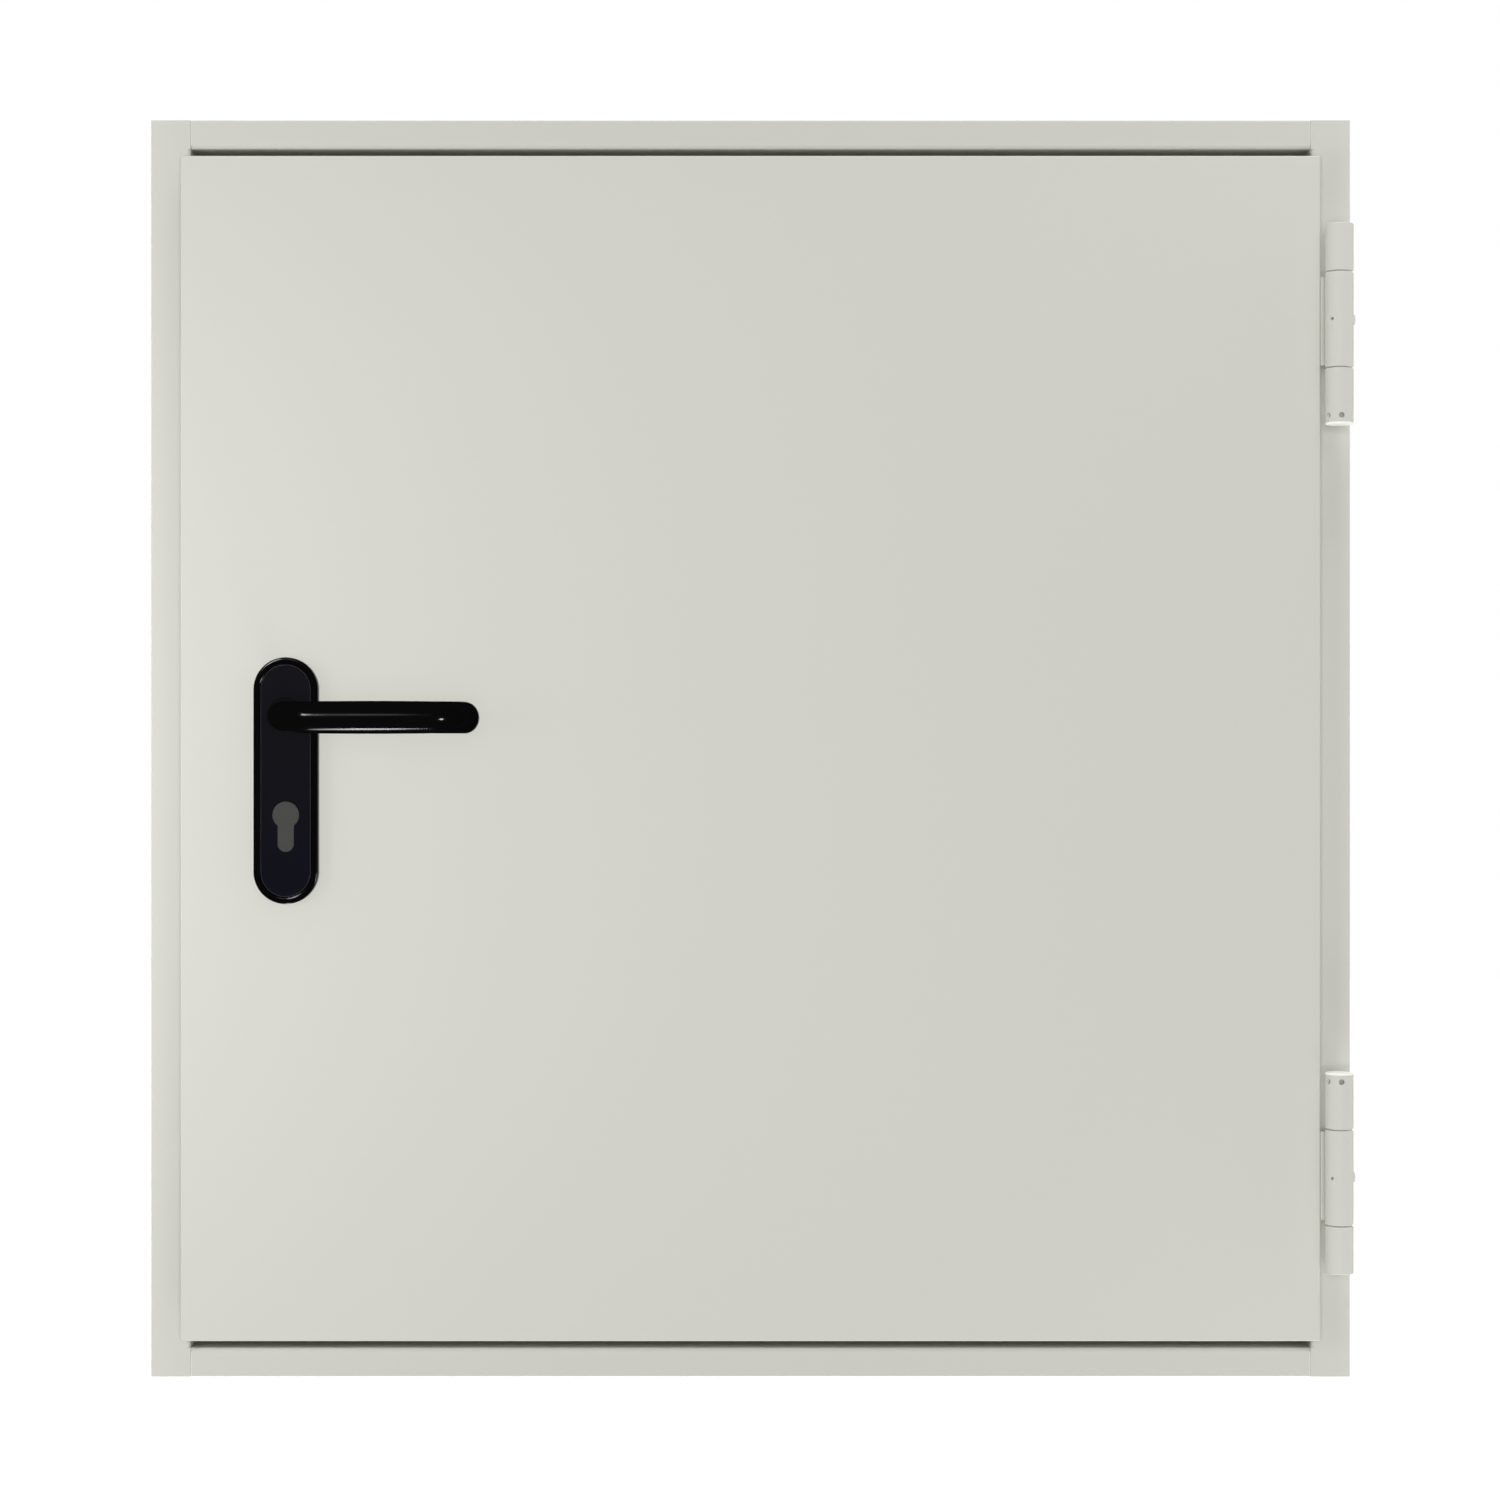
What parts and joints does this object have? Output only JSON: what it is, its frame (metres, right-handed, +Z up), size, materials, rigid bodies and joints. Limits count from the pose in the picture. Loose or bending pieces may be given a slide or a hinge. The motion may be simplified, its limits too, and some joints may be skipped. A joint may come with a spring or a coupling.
{
  "type": "fire access hatch",
  "caption": "Single-leaf steel fire access hatch in a four-sided corner frame, with spring hinges on the right and lever handles on long plates.",
  "frame": {"origin": "centre of the sill flange's flat back face, on the face of the wall", "axes": "+X to the right seen from the front, +Y into the wall, +Z up"},
  "size_m": [0.8806, 0.167, 0.922],
  "materials": {
    "powder_coat": "satin powder coat, pale grey-white",
    "zinc_steel": "zinc-plated steel",
    "black_plastic": "glossy black plastic on a steel core",
    "grey_plastic": "matt grey filling of the cylinder hole",
    "white_plastic": "white plastic cap",
    "seal_rubber": "soft rubber",
    "mineral_wool": "pressed mineral wool board"
  },
  "bodies": {
    "frame": {"hinge_jamb": "powder_coat", "lock_jamb": "powder_coat", "head": "powder_coat", "sill": "powder_coat", "hinge_jamb_anchors": "zinc_steel", "lock_jamb_anchors": "zinc_steel", "head_anchors": "zinc_steel", "sill_anchors": "zinc_steel", "strike_box": "zinc_steel", "seal": "seal_rubber", "upper_hinge_end_barrel": "powder_coat", "upper_hinge_tension_barrel": "powder_coat", "upper_hinge_tension_ring": "zinc_steel", "upper_hinge_pin": "zinc_steel", "upper_hinge_cap": "white_plastic", "lower_hinge_end_barrel": "powder_coat", "lower_hinge_tension_barrel": "powder_coat", "lower_hinge_tension_ring": "zinc_steel", "lower_hinge_pin": "zinc_steel", "lower_hinge_cap": "white_plastic"},
    "leaf": {"leaf_front_skin": "powder_coat", "leaf_back_tray": "powder_coat", "leaf_core": "mineral_wool", "lock_case": "zinc_steel", "lock_forend": "zinc_steel", "latch_bolt": "zinc_steel", "dead_bolt": "zinc_steel", "front_plate": "black_plastic", "rear_plate": "black_plastic", "cylinder_blank": "grey_plastic", "security_pins": "zinc_steel", "upper_hinge_leaf_barrel": "powder_coat", "lower_hinge_leaf_barrel": "powder_coat"},
    "lever": {"front_lever": "black_plastic", "rear_lever": "black_plastic", "spindle": "zinc_steel", "follower": "zinc_steel"}
  },
  "joints": [
    {"name": "leaf_swing", "type": "hinge", "parent": "frame", "child": "leaf", "pos_m": [0.4295, -0.01725, 0.452], "axis": [0, 0, 1], "range_deg": [0, 170], "stiffness_Nm_per_rad": 3, "springref_deg": -45.84},
    {"name": "lever_turn", "type": "hinge", "parent": "leaf", "child": "lever", "pos_m": [-0.339, 0.0125, 0.4755], "axis": [0, 1, 0], "range_deg": [0, 40], "stiffness_Nm_per_rad": 2, "springref_deg": -20.05}
  ]
}
